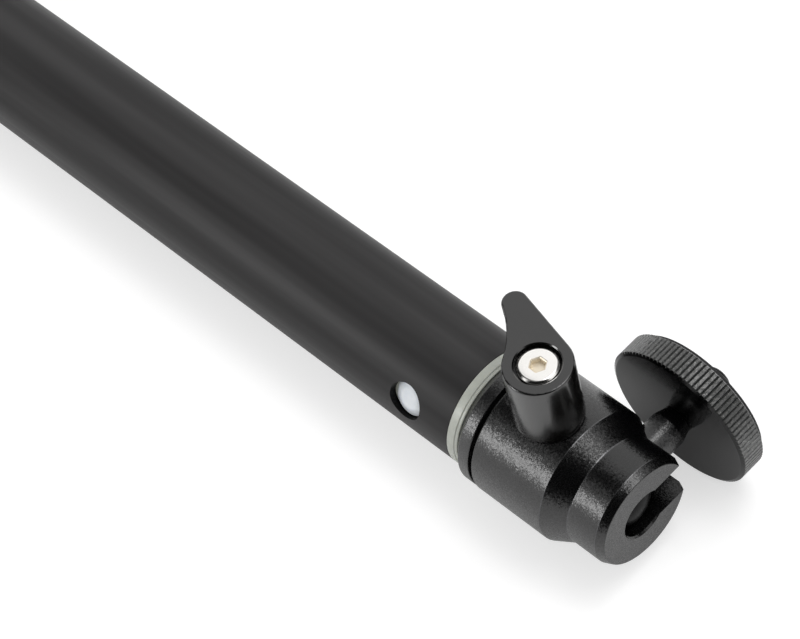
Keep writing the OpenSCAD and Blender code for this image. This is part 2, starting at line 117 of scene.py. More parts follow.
def ring(radii: Iterable[float], heights: Iterable[float], turns: Iterable[float]) -> list[Vector]:
    """A ring of points about the axis, each with its own radius, height and turn in radians."""
    return [Vector((r * math.cos(a), r * math.sin(a), h)) for r, h, a in zip(radii, heights, turns)]


def circle(radius: float, height: float, segments: int) -> list[Vector]:
    """An even ring of points round the axis."""
    return ring(repeat(radius), repeat(height), (2 * math.pi * k / segments for k in range(segments)))


def arc(middle: Vector, radius: float, start: float, stop: float, count: int) -> list[Vector]:
    """Flat points of an arc between two directions in radians."""
    turns = [start + (stop - start) * k / count for k in range(count + 1)]
    return [middle + radius * Vector((math.cos(a), math.sin(a))) for a in turns]


@dataclass
class Outline:
    """Closed outline of [radius, height] corners, each with its own rounding, in millimetres."""

    corners: list[Triple] = field(default_factory=list)

    def to(self, radius: float, height: float, rounding: float | Corner = Corner.SHARP) -> "Outline":
        """Adds a corner with a fillet radius or a named one, and returns the outline for the next."""
        self.corners.append((radius, height, rounding.value if isinstance(rounding, Corner) else rounding))
        return self

    def points(self, steps: int) -> list[tuple[float, float]]:
        """Turns the corners into points, with an arc at each rounded one.

        Args:
            steps: Segments in each arc.

        Returns:
            The points in order.
        """
        out: list[tuple[float, float]] = []
        count = len(self.corners)
        for i, (radius, height, size) in enumerate(self.corners):
            here = Vector((radius, height))
            to_last = Vector(self.corners[i - 1][:2]) - here
            to_next = Vector(self.corners[(i + 1) % count][:2]) - here
            if size <= 0 or to_last.length < 1e-6 or to_next.length < 1e-6:
                out.append((radius, height))
                continue
            half = to_last.angle(to_next) / 2
            reach = min(size / math.tan(half), 0.49 * to_last.length, 0.49 * to_next.length)
            true_size = reach * math.tan(half)
            start, end = to_last.normalized(), to_next.normalized()
            centre = here + (start + end).normalized() * (true_size / math.sin(half))
            arm_a, arm_b = here + start * reach - centre, here + end * reach - centre
            for k in range(steps + 1):
                point = centre + arm_a.lerp(arm_b, k / steps).normalized() * true_size
                out.append((point.x, point.y))
        return out

    @staticmethod
    def tube(span: Span, wall: float, rounding: float) -> "Outline":
        """Outline of a tube along X, with its wall and the rounding of its four edges."""
        outer, start, end = span.along(0)
        return Outline([(outer - wall, start, rounding), (outer, start, rounding),
                        (outer, end, rounding), (outer - wall, end, rounding)])


def shade(data: bpy.types.Mesh, sharp: float = 30) -> None:
    """Shades a mesh smooth, with the edges above an angle in degrees kept sharp."""
    data.polygons.foreach_set("use_smooth", [True] * len(data.polygons))
    data.set_sharp_from_angle(angle=math.radians(sharp))


@dataclass(frozen=True)
class Shaper:
    """Builds meshes in millimetres along their own Z axis, and places them by a matrix."""

    place: Matrix

    def finish(self, name: str, mesh: bmesh.types.BMesh, sharp: float = 30) -> Thing:
        """Closes a mesh build: cleans it, places it in metres and links its object.

        Args:
            name: Name of the object.
            mesh: The built mesh.
            sharp: Angle in degrees above which an edge stays sharp.

        Returns:
            The object.
        """
        bmesh.ops.remove_doubles(mesh, verts=mesh.verts, dist=1e-5)
        bmesh.ops.recalc_face_normals(mesh, faces=mesh.faces)
        mesh.transform(Matrix.Scale(MM, 4) @ self.place)
        data = bpy.data.meshes.new(name)
        mesh.to_mesh(data)
        mesh.free()
        shade(data, sharp)
        piece = bpy.data.objects.new(name, data)
        bpy.context.scene.collection.objects.link(piece)
        return piece

    def grid(self, name: str, rows: list[list[Vector]], sharp: float = 30, loop: bool = True) -> Thing:
        """Skins rings of points.

        Args:
            name: Name of the object.
            rows: Rings with the same number of points each.
            sharp: Angle in degrees above which an edge stays sharp.
            loop: Whether the last ring joins the first one; otherwise each gets a face.

        Returns:
            The object.
        """
        mesh = bmesh.new()
        rings = [[mesh.verts.new(p) for p in row] for row in rows]
        for low, high in zip(rings, rings[1:] + rings[:1] if loop else rings[1:]):
            for i in range(len(low)):
                j = (i + 1) % len(low)
                mesh.faces.new((low[i], low[j], high[j], high[i]))
        if not loop:
            mesh.faces.new(rings[0])
            mesh.faces.new(rings[-1])
        return self.finish(name, mesh, sharp)

    def turned(self, name: str, outline: Outline, segments: int = 160, steps: int = 4) -> Thing:
        """Turns a closed outline, with so many segments round the axis and steps in each rounding."""
        return self.grid(name, [circle(r, height, segments) for r, height in outline.points(steps)])

    def prism(self, name: str, outline: list[Vector], low: float, high: float, ease: float = 0.0,
              rim: int = 0) -> Thing:
        """Extrudes an outline, with its upper and lower edges rounded.

        Args:
            name: Name of the object.
            outline: Points of the outline in the plane across the axis.
            low: Height of the lower face.
            high: Height of the upper face.
            ease: Rounding of the edges.
            rim: Index of the piece's finish for the rounding.

        Returns:
            The object.
        """
        mesh = bmesh.new()
        face = mesh.faces.new([mesh.verts.new((p.x, p.y, low)) for p in outline])
        moved = bmesh.ops.extrude_face_region(mesh, geom=[face])
        top = [v for v in moved["geom"] if isinstance(v, bmesh.types.BMVert)]
        bmesh.ops.translate(mesh, verts=top, vec=(0, 0, high - low))
        if ease > 0:
            rims = [e for e in mesh.edges if abs(e.verts[0].co.z - e.verts[1].co.z) < 1e-6]
            bmesh.ops.bevel(mesh, geom=rims, offset=ease, segments=3, profile=0.5, material=rim,
                            affect="EDGES")
        return self.finish(name, mesh)


def modify(piece: Thing, kind: str, **settings: object) -> None:
    """Applies a modifier to a piece's mesh.

    Args:
        piece: The piece.
        kind: The modifier's type name.
        settings: Attributes to set on it.
    """
    step = piece.modifiers.new("step", kind)
    for key, value in settings.items():
        setattr(step, key, value)
    bpy.context.view_layer.update()
    ready = piece.evaluated_get(bpy.context.evaluated_depsgraph_get())
    data = bpy.data.meshes.new_from_object(ready)
    piece.modifiers.clear()
    piece.data = data


def combine(piece: Thing, *tools: Thing, how: str = "DIFFERENCE") -> None:
    """Cuts tools out of a piece, or unites them with it.

    Args:
        piece: The piece.
        tools: The closed meshes, removed afterwards.
        how: Name of the exact boolean operation.
    """
    for tool in tools:
        modify(piece, "BOOLEAN", operation=how, object=tool, solver="EXACT")
        bpy.data.objects.remove(tool)
    shade(piece.data)


def level(piece: Thing) -> None:
    """Lets large faces keep their own direction, so that they look flat beside rounded edges."""
    modify(piece, "WEIGHTED_NORMAL", mode="FACE_AREA", weight=100, keep_sharp=True)


def soften(piece: Thing, width: float, finish: int = -1) -> None:
    """Rounds every distinct edge of a piece.

    Args:
        piece: The piece.
        width: Width of the rounding.
        finish: Index of the piece's finish for the rounding; -1 takes the neighbours'.
    """
    modify(piece, "BEVEL", material=finish, width=width * MM, segments=2, limit_method="ANGLE",
           angle_limit=math.radians(35), use_clamp_overlap=True, harden_normals=False)
    shade(piece.data, 32)
    level(piece)


BALL_AT = joint_point("ball_tilt")
LEVER_AT = joint_point("lever_turn")
ON_POLE = Shaper(Matrix.Rotation(math.radians(90), 4, "Y"))
ON_STEM = Shaper(Matrix.Translation((BALL_AT.x, 0, 0)) @ Matrix.Rotation(math.radians(-90), 4, "X"))
ON_LEVER = Shaper(Matrix.Translation((LEVER_AT.x, 0, 0)))


@dataclass(frozen=True)
class Thread:
    """A helical screw thread between two radii, in millimetres."""

    minor: float
    major: float
    pitch: float = 1.27
    crest: float = 0.14
    root: float = 0.1
    segments: int = 72
    rows_per_turn: int = 14

    def radius(self, share: float) -> float:
        """Radius of the full thread at a share of the pitch, from one root's middle to the next."""
        rise = (1 - abs((share % 1.0) * 2 - 1) - self.root) / (1 - self.root - self.crest)
        return self.minor + (self.major - self.minor) * min(max(rise, 0.0), 1.0)

    def rings(self, low: float, high: float, run_out: float = 0.5) -> list[list[Vector]]:
        """Rings of points along a threaded length.

        Args:
            low: Height at which the thread starts.
            high: Height at which it ends.
            run_out: Length over which the thread fades into the minor radius at both ends.

        Returns:
            The rings, from low to high.
        """
        rows = max(2, round((high - low) / self.pitch * self.rows_per_turn))
        turns = [k / self.segments for k in range(self.segments)]
        out = []
        for row in range(rows + 1):
            height = low + (high - low) * row / rows
            fade = max(0.0, min(1.0, (height - low) / run_out, (high - height) / run_out))
            full = (self.radius(height / self.pitch - turn) for turn in turns)
            radii = (self.minor + (radius - self.minor) * fade for radius in full)
            out.append(ring(radii, repeat(height), (2 * math.pi * turn for turn in turns)))
        return out


class Graph:
    """A node tree while it is drawn up."""

    def __init__(self, tree: bpy.types.NodeTree) -> None:
        """Takes up a node tree."""
        self.tree = tree

    def feed(self, node: bpy.types.Node, feeds: Feeds) -> None:
        """Links a node's inputs or sets their values.

        Args:
            node: The node.
            feeds: A socket or a value for each input, by the input's name or index.
        """
        for key, value in feeds.items():
            if isinstance(value, Socket):
                self.tree.links.new(value, node.inputs[key])
            else:
                node.inputs[key].default_value = value

    def node(self, kind: str, out: str, feeds: Feeds, **settings: object) -> Socket:
        """Adds a node.

        Args:
            kind: The node's type name after ShaderNode.
            out: Name of the output that is used.
            feeds: A socket or a value for each input, by the input's name or index.
            settings: Attributes to set on it.

        Returns:
            The output.
        """
        made = self.tree.nodes.new("ShaderNode" + kind)
        for key, value in settings.items():
            setattr(made, key, value)
        self.feed(made, feeds)
        return made.outputs[out]

    def maths(self, how: str, *terms: Socket | float, **settings: object) -> Socket:
        """Adds a math node on the given terms."""
        return self.node("Math", "Value", dict(enumerate(terms)), operation=how, **settings)

    def vector(self, how: str, *terms: Socket | Triple, out: str = "Vector") -> Socket:
        """Adds a vector math node on the given terms."""
        return self.node("VectorMath", out, dict(enumerate(terms)), operation=how)

    def spread(self, source: Socket, low: float = 0, high: float = 1, start: float = 0.3,
               end: float = 0.7, **settings: object) -> Socket:
        """Maps a pattern, so that it runs from low to high between its own values start and end."""
        feeds = {"Value": source, "From Min": start, "From Max": end, "To Min": low, "To Max": high}
        return self.node("MapRange", "Result", feeds, **settings)


class Sheet(Graph):
    """A material's node tree, drawn up round one Principled shader."""

    def __init__(self, name: str) -> None:
        """Starts a material.

        Args:
            name: Its name.
        """
        self.material = bpy.data.materials.new(name)
        self.material.use_nodes = True
        super().__init__(self.material.node_tree)
        self.shader = self.tree.nodes["Principled BSDF"]
        self.place = self.node("TexCoord", "Object", {})

    def surface(self, feeds: Feeds) -> None:
        """Links the shader's inputs or sets their values."""
        self.feed(self.shader, feeds)

    def noise(self, size: float, detail: float = 3, rough: float = 0.6,
              stretch: Triple = (1, 1, 1)) -> Socket:
        """Adds noise in the frame's coordinates; a stretch below 1 draws it out along an axis."""
        place = self.node("Mapping", "Vector", {"Vector": self.place, "Scale": stretch})
        return self.node("TexNoise", "Fac", {"Vector": place, "Scale": 1 / (size * MM),
                                             "Detail": detail, "Roughness": rough})

    def tint(self, source: Socket, colour: Triple, other: Triple) -> None:
        """Colours the shader between two colours by a pattern from 0 to 1."""
        feeds = {"Factor": source, "A": (*colour, 1), "B": (*other, 1)}
        self.surface({"Base Color": self.node("Mix", "Result", feeds, data_type="RGBA")})

    def bump(self, source: Socket, depth: float, strength: float, below: Socket | None = None) -> Socket:
        """Adds relief to the shader.

        Args:
            source: The height pattern.
            depth: Height of the relief in millimetres.
            strength: Share of it that shows.
            below: A normal that this relief adds to.

        Returns:
            The bent normal.
        """
        feeds = {"Height": source, "Distance": depth * MM, "Strength": strength}
        if below is not None:
            feeds["Normal"] = below
        normal = self.node("Bump", "Normal", feeds)
        self.surface({"Normal": normal})
        return normal

    def facets(self, size: float, tilt: float) -> Socket:
        """Tilts the surface a little in every grain, each grain its own way.

        Args:
            size: Size of one grain, in millimetres.
            tilt: Largest tilt, as a share of the normal's length.

        Returns:
            The tilted normal.
        """
        grains = self.node("TexVoronoi", "Color", {"Vector": self.place, "Scale": 1 / (size * MM)})
        tilted = self.vector("MULTIPLY", self.vector("SUBTRACT", grains, (0.5,) * 3), (2 * tilt,) * 3)
        normal = self.node("NewGeometry", "Normal", {})
        return self.vector("NORMALIZE", self.vector("ADD", normal, tilted))


@dataclass(frozen=True)
class Finish:
    """A surface finish. Colours are linear, sizes are in millimetres."""

    name: str
    colour: Triple
    other: Triple
    roughness: float
    metallic: float = 0.0
    ior: float = 1.5

    def tone(self, sheet: Sheet, pattern: Socket) -> None:
        """Leads from one colour to the other by a pattern."""
        sheet.tint(sheet.spread(pattern), self.colour, self.other)

    def gloss(self, sheet: Sheet, pattern: Socket, low: float, high: float) -> None:
        """Varies the roughness by a pattern, between two shares of its value."""
        value = sheet.spread(pattern, self.roughness * low, min(1.0, self.roughness * high))
        sheet.surface({"Roughness": value})

    def draw(self, sheet: Sheet) -> None:
        """Draws the finish's patterns."""
        raise NotImplementedError

    def material(self) -> bpy.types.Material:
        """Makes the material, once for each finish.

        Returns:
            The material.
        """
        ready = bpy.data.materials.get(self.name)
        if ready is not None:
            return ready
        sheet = Sheet(self.name)
        sheet.surface({"Metallic": self.metallic, "Roughness": self.roughness, "IOR": self.ior})
        self.draw(sheet)
        return sheet.material

    def dress(self, piece: Thing, *others: "Finish") -> None:
        """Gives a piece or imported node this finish, and others for single faces.

        Args:
            piece: The piece.
            others: The finishes with index 1 and above.
        """
        piece.data.materials.clear()
        for finish in (self, *others):
            piece.data.materials.append(finish.material())


@dataclass(frozen=True)
class Anodised(Finish):
    """Drawn tube with a satin anodised skin and fine lines along it."""

    line: float = 0.12
    relief: float = 0.004

    def draw(self, sheet: Sheet) -> None:
        """Draws the lines, broad streaks of tone and relief.

        Args:
            sheet: The material's node tree.
        """
        lines = sheet.noise(self.line, 2, 0.5, (0.01, 1, 1))
        self.tone(sheet, sheet.noise(4.5, 2, 0.5, (0.03, 1, 1)))
        self.gloss(sheet, lines, 0.9, 1.12)
        below = sheet.bump(lines, self.relief, 0.35)
        sheet.bump(sheet.noise(0.09, 2), self.relief, 0.5, below)


@dataclass(frozen=True)
class Blasted(Finish):
    """Bead-blasted and black anodised metal: fine dimples that sparkle where a lamp is mirrored."""

    dimple: float = 0.3
    relief: float = 0.006
    strength: float = 0.6
    grain: float = 0.2
    tilt: float = 0.0
    # Colour of random lighter spots: partly rubbed wear, partly painted glints.
    wear_and_glint: Triple | None = None

    def draw(self, sheet: Sheet) -> None:
        """Draws the dimples, tone, relief and the lighter spots, which are partly rubbed wear and partly
        painted glints.

        Args:
            sheet: The material's node tree.
        """
        dimples = sheet.noise(self.dimple, 3, 0.7)
        if self.wear_and_glint is None:
            self.tone(sheet, sheet.noise(4.0, 4))
        else:
            # Random lighter spots: partly rubbed crests, partly painted glints.
            wear_and_glint_spots = sheet.noise(self.dimple * 1.5, 4, 0.75)
            sheet.tint(sheet.spread(wear_and_glint_spots, start=0.56, end=0.72), self.colour, self.wear_and_glint)
        self.gloss(sheet, dimples, 0.85, 1.2)
        below = sheet.facets(self.grain, self.tilt) if self.tilt > 0 else None
        sheet.bump(dimples, self.relief, self.strength, below)


@dataclass(frozen=True)
class Turned(Finish):
    """Lathe-turned metal: fine rings about an axis, and a stretched highlight across them."""

    centre: Triple = (0, 0, 0)
    axis: str = "Z"
    ring: float = 0.1
    relief: float = 0.006
    stretch: float = 0.7

    def draw(self, sheet: Sheet) -> None:
        """Draws the rings about the axis, the tone and the relief.

        Args:
            sheet: The material's node tree.
        """
        keep = {"X": (0, 1, 1), "Y": (1, 0, 1), "Z": (1, 1, 0)}[self.axis]
        shift = [-c * MM * k for c, k in zip(self.centre, keep)]
        across = sheet.node("Mapping", "Vector", {"Vector": sheet.place, "Location": shift, "Scale": keep},
                            vector_type="POINT")
        length = sheet.vector("LENGTH", across, out="Value")
        rings = sheet.node("TexNoise", "Fac", {"W": length, "Scale": 1 / (self.ring * MM), "Detail": 2},
                           noise_dimensions="1D")
        self.tone(sheet, sheet.noise(5.0))
        self.gloss(sheet, rings, 0.85, 1.15)
        sheet.bump(rings, self.relief, 0.4)
        around = sheet.node("Tangent", "Tangent", {}, direction_type="RADIAL", axis=self.axis)
        sheet.surface({"Anisotropic": self.stretch, "Tangent": around})


@dataclass(frozen=True)
class Nylon(Finish):
    """Natural nylon: slightly translucent, with a faint cloudiness and fine turning marks."""

    def draw(self, sheet: Sheet) -> None:
        """Draws the cloudiness, the marks and the light that enters the plastic.

        Args:
            sheet: The material's node tree.
        """
        self.tone(sheet, sheet.noise(1.6, 4))
        sheet.bump(sheet.noise(0.1, 2, 0.6, (1, 0.1, 0.1)), 0.01, 0.25)
        sheet.surface({"Subsurface Weight": 0.25, "Subsurface Scale": 0.6 * MM,
                       "Subsurface Radius": (1.0, 0.9, 0.7)})


@dataclass(frozen=True)
class Moulded(Finish):
    """Moulded rubber or plastic with a fine leathery grain."""

    grain: float = 0.25
    relief: float = 0.03

    def draw(self, sheet: Sheet) -> None:
        """Draws the grain, the dust that lightens it and the relief.

        Args:
            sheet: The material's node tree.
        """
        cells = sheet.node("TexVoronoi", "Distance", {"Vector": sheet.place, "Scale": 1 / (self.grain * MM)},
                           feature="SMOOTH_F1")
        dust = sheet.noise(3.0, 5, 0.7)
        self.tone(sheet, dust)
        self.gloss(sheet, dust, 0.9, 1.1)
        sheet.bump(cells, self.relief, 0.5)


TUBE = Anodised("tube_anodised", (0.0262, 0.0255, 0.0258), (0.046, 0.0449, 0.0453), 0.36, ior=1.17)
HOUSING = Blasted("housing_black", (0.0004, 0.0004, 0.0005), (0.001, 0.001, 0.0012), 0.26, ior=1.62,
                  tilt=0.075)
RUBBED = Blasted("edge_rubbed", (0.06, 0.06, 0.062), (0.14, 0.14, 0.143), 0.25, 1.0, dimple=0.25,
                 grain=0.22, tilt=0.06)
LEVER = Blasted("lever_black", (0.0015, 0.0014, 0.0012), (0.003, 0.0028, 0.0025), 0.18, ior=1.75,
                dimple=0.12, relief=0.003, strength=0.3)
RING = Blasted("ring_black", (0.0008, 0.0008, 0.001), (0.002, 0.002, 0.0023), 0.28, ior=1.72, tilt=0.08)
WHEEL = Turned("wheel_black", (0.0008, 0.0008, 0.0009), (0.0016, 0.0016, 0.0017), 0.13, ior=1.36,
               centre=(BALL_AT.x, 0, 0), axis="Y", relief=0.001, stretch=0.3)
# Knurling with random lighter spots, partly rubbed wear and partly painted glints.
KNURL = Blasted("knurl_worn_and_glinting", (0.03, 0.031, 0.03), (0.04, 0.041, 0.04), 0.3, ior=1.75,
                dimple=0.2, relief=0.02, grain=0.25, tilt=0.15, wear_and_glint=(0.32, 0.325, 0.31))
# Bright metal for the wheel's upper bevel only: a painted highlight along that edge.
UPPER_BEVEL_HIGHLIGHT = Blasted("upper_bevel_highlight", (0.36, 0.36, 0.37), (0.46, 0.46, 0.47), 0.3, 1.0, dimple=0.2, relief=0.01)
STEM = Blasted("stem_black", (0.0008, 0.0008, 0.001), (0.002, 0.002, 0.0023), 0.24, ior=1.7, tilt=0.045)
# Near-black, weakly mirroring finish: painted shade on the wall of the handle tube's hole, and a darker copy
# of the stem's finish on the ball.
DARK_BALL_AND_WALL_SHADE = Blasted("dark_ball_and_wall_shade", (0.0008, 0.0008, 0.0008), (0.0014, 0.0014, 0.0014), 0.3, ior=1.2,
               dimple=0.2, relief=0.004)
NYLON = Nylon("nylon_natural", (0.36, 0.375, 0.335), (0.42, 0.435, 0.39), 0.3)
# Lighter, bluer copy of the bush's own nylon for the nub in the hole: painted light; the ring of the same
# bush keeps the greyer tone.
NUB_PAINTED_LIGHT = Nylon("nylon_nub_painted_light", (0.68, 0.72, 0.76), (0.76, 0.79, 0.82), 0.3)
BLACK_NYLON = Moulded("nylon_black", (0.008, 0.008, 0.008), (0.014, 0.014, 0.014), 0.5)
GRIP = Moulded("grip_rubber", (0.014, 0.014, 0.0145), (0.022, 0.022, 0.022), 0.7)
PAD = Moulded("pad_rubber", (0.012, 0.012, 0.0125), (0.02, 0.02, 0.0205), 0.75, relief=0.05)
CAP = Moulded("cap_plastic", (0.012, 0.012, 0.0125), (0.02, 0.02, 0.0202), 0.5, grain=0.18)
CHROME = Turned("screw_chrome", (0.93, 0.91, 0.875), (0.97, 0.955, 0.925), 0.16, 1.0,
                centre=(LEVER_AT.x, 0, 0), relief=0.002, stretch=0.2)
SCREW = Blasted("screw_black", (0.0015, 0.0015, 0.0016), (0.003, 0.003, 0.0031), 0.3, ior=1.35,
                dimple=0.14)
SOCKET = Blasted("socket_bright", (0.8, 0.72, 0.58), (0.88, 0.8, 0.66), 0.4, 0.55,
                 dimple=0.2, relief=0.004)
STEEL = Turned("steel_turned", (0.42, 0.42, 0.425), (0.5, 0.5, 0.505), 0.28, 1.0, axis="X")
ALUMINIUM = Turned("aluminium_turned", (0.6, 0.605, 0.61), (0.68, 0.685, 0.69), 0.3, 1.0, axis="X")
BRASS = Turned("brass_turned", (0.62, 0.43, 0.17), (0.7, 0.5, 0.22), 0.25, 1.0, axis="X")


@dataclass
class SubAssembly:
    """Pieces that are built together. Sizes are in millimetres."""

    def keep(self, finish: Finish, *nodes: str) -> None:
        """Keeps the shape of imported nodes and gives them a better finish.

        Args:
            finish: Their finish.
            nodes: The nodes.
        """
        for node in nodes:
            finish.dress(frame["nodes"][node])
            log.info("kept %s with %s", node, finish.name)

    def place(self, piece: Thing, node: str, body: str, finish: Finish, slot: str) -> None:
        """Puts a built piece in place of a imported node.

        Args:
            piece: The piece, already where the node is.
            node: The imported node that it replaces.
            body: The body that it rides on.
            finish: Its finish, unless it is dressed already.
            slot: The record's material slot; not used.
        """
        if not piece.data.materials:
            finish.dress(piece)
        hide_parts(node)
        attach(piece, body)
        log.info("built %s: %d faces", piece.name, len(piece.data.polygons))


@dataclass
class Handle(SubAssembly):
    """Handle tube with its nylon bush, rubber grip, end cap and socket insert."""

    wall: float = 1.5
    mouth: float = 305.0
    hole_radius: float = 3.7
    hole_offset: float = 10.6
    hole_turn: float = 67.5
    nub_height: float = 0.4
    nub_gap: float = 0.15
    nub_crown: float = 0.55
    bush_plug: float = 16.0
    bush_bore: float = 9.55
    bush_step: float = 0.2
    lip: float = 0.75
    lip_end: float = 0.6
    ring_pitch: float = 10.0
    ring_depth: float = 0.7
    ring_width: float = 1.6
    cap_round: float = 2.0
    cap_plug: float = 9.0
    play: float = 0.02
    thread: Thread = Thread(2.62, 3.15)

    def drill(self, name: str, radius: float, low: float, high: float, crown: float = 0.0) -> Thing:
        """A tool or nub set radially at the bush's hole, with a crowned outer end."""
        turned = (Outline().to(0, low).to(radius, low).to(radius, high - crown, crown / 2)
                  .to(radius * 0.55, high, crown * 3).to(0, high))
        return Shaper(Matrix.Translation((self.mouth - self.hole_offset, 0, 0))
                      @ Matrix.Rotation(math.radians(self.hole_turn), 4, "X")).turned(name, turned, 72)

    def tube(self) -> None:
        """Builds the handle tube with its rolled edges and the bush's hole, whose wall is painted black as
        shade.
        """
        span = Span.of("handle_tube")
        outer, start, end = span.along(0)
        outline = Outline.tube(span, self.wall, Corner.BROKEN.value)
        piece = ON_POLE.turned("tube_handle", outline, 256)
        combine(piece, self.drill("drill", self.hole_radius, 5, outer + 2))
        TUBE.dress(piece, DARK_BALL_AND_WALL_SHADE)
        # The faces of the hole's wall get the near-black finish: painted shade inside the hole.
        for face in piece.data.polygons:
            middle = face.center / MM
            hole_wall_shade = outer - self.wall + 0.05 < math.hypot(middle.y, middle.z) < outer - 0.02
            face.material_index = int(hole_wall_shade and start + 10 < middle.x < end - 1)
        self.place(piece, "handle_tube", "handle", TUBE, "anodised_tube")

    def bush(self) -> None:
        """Builds the nylon bush: plug, visible ring and locating nub."""
        outer = Span.of("handle_tube").radius(1)
        front = Span.of("handle_bush").high[0]
        plug, back = outer - self.wall - self.play, self.mouth - self.bush_plug
        inset = outer - self.bush_step
        outline = (Outline().to(self.bush_bore, back).to(plug, back, Corner.EASED).to(plug, self.mouth)
                   .to(outer, self.mouth, Corner.BROKEN).to(outer, front - self.lip, 0.12)
                   .to(inset, front - self.lip_end, 0.1).to(inset, front, 0.2).to(self.bush_bore, front))
        piece = ON_POLE.turned("bush_handle", outline, 192)
        self.place(piece, "handle_bush", "handle", NYLON, "nylon")
        nub = self.drill("bush_nub", self.hole_radius - self.nub_gap, plug - 0.5,
                         plug + self.play + self.nub_height, self.nub_crown)
        # The nub gets the lighter copy of the bush's nylon: painted light.
        NUB_PAINTED_LIGHT.dress(nub)
        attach(nub, "handle")

    def grip(self) -> None:
        """Builds the rubber grip with its moulded rings."""
        outer, start, end = Span.of("grip_sleeve").along(0)
        bore = Span.of("handle_tube").radius(1) + self.play
        half = self.ring_width / 2
        outline = Outline().to(bore, start).to(outer, start, Corner.EASED)
        rings = int((end - start - self.ring_pitch) // self.ring_pitch)
        for i in range(1, rings + 1):
            at = start + i * self.ring_pitch
            outline.to(outer, at - half, 0.35).to(outer - self.ring_depth, at, 0.25)
            outline.to(outer, at + half, 0.35)
        outline.to(outer, end - half, 0.5).to(outer - half, end, 0.3).to(bore, end)
        piece = ON_POLE.turned("grip", outline, 128, 3)
        self.place(piece, "grip_sleeve", "handle", GRIP, "rubber")

    def cap(self) -> None:
        """Builds the end cap and its threaded brass insert."""
        outer, _, front = Span.of("end_cap").along(0)
        radius, _, end = Span.of("tripod_insert").along(0)
        thread, seat = self.thread, radius + self.play
        plug = Span.of("handle_tube").radius(1) - self.wall - self.play
        flange = front - self.cap_plug
        outline = (Outline().to(seat, 0, 0.1).to(outer, 0, self.cap_round).to(outer, flange, Corner.BROKEN)
                   .to(plug, flange).to(plug, front, Corner.EASED).to(0, front).to(0, end).to(seat, end))
        piece = ON_POLE.turned("cap_end", outline, 128, 6)
        self.place(piece, "end_cap", "handle", CAP, "black_plastic")
        shell = ((radius, end), (radius, 0.15), (radius - 0.15, 0), (thread.major, 0))
        rows = [circle(*corner, thread.segments) for corner in shell] + thread.rings(0.3, end)
        brass = ON_POLE.grid("insert_socket", rows, 50)
        self.place(brass, "tripod_insert", "handle", BRASS, "brass")

    def build(self) -> None:
        """Builds and dresses the whole handle."""
        self.tube()
        self.bush()
        self.grip()
        self.cap()


@dataclass
class Sections(SubAssembly):
    """Middle and inner tubes with their bushes and twist locks."""

    wall: float = 1.0
    edge: float = 0.1

    def build(self) -> None:
        """Builds the tubes with broken edges and dresses the bushes and locks."""
        for node, body in (("mid_tube", "mid_section"), ("inner_tube", "inner_section")):
            outline = Outline.tube(Span.of(node), self.wall, self.edge)
            piece = ON_POLE.turned(f"tube_{body}", outline, 160, 2)
            self.place(piece, node, body, TUBE, "anodised_tube")
        self.keep(NYLON, "mid_bush", "mid_expander", "inner_expander")
        self.keep(ALUMINIUM, "mid_lock_core", "inner_lock_core", "tip_plug")


@dataclass
class PanBase(SubAssembly):
    """Base ring under the head, with its washer, plate, retainer and bolt."""

    chamfer: float = 1.55
    lip: float = 0.95
    lip_rise: float = 0.65
    gap: float = 0.15
    length: float = 3.95
    hub: float = 6.0
    bolt_hole: float = 2.52

    def build(self) -> None:
        """Builds the base ring and dresses the hidden pieces."""
        outer, back, top = Span.of("base_ring").along(0)
        inner = Span.of("handle_tube").radius(1) - 0.05
        front = back + self.length
        outline = (Outline().to(self.bolt_hole, back).to(inner - 0.3, back)
                   .to(inner - 0.2, back + self.gap, 0.08).to(outer - self.lip, back + self.lip_rise, 0.2)
                   .to(outer, back + self.chamfer, 0.25).to(outer, front, Corner.BROKEN)
                   .to(self.hub, front).to(self.hub, top, 0.1).to(self.bolt_hole, top))
        piece = ON_POLE.turned("ring_base", outline, 192)
        self.place(piece, "base_ring", "inner_section", RING, "black_aluminium")
        self.keep(BLACK_NYLON, "pan_washer")
        self.keep(ALUMINIUM, "pan_plate")
        self.keep(STEEL, "pan_retainer", "head_bolt")


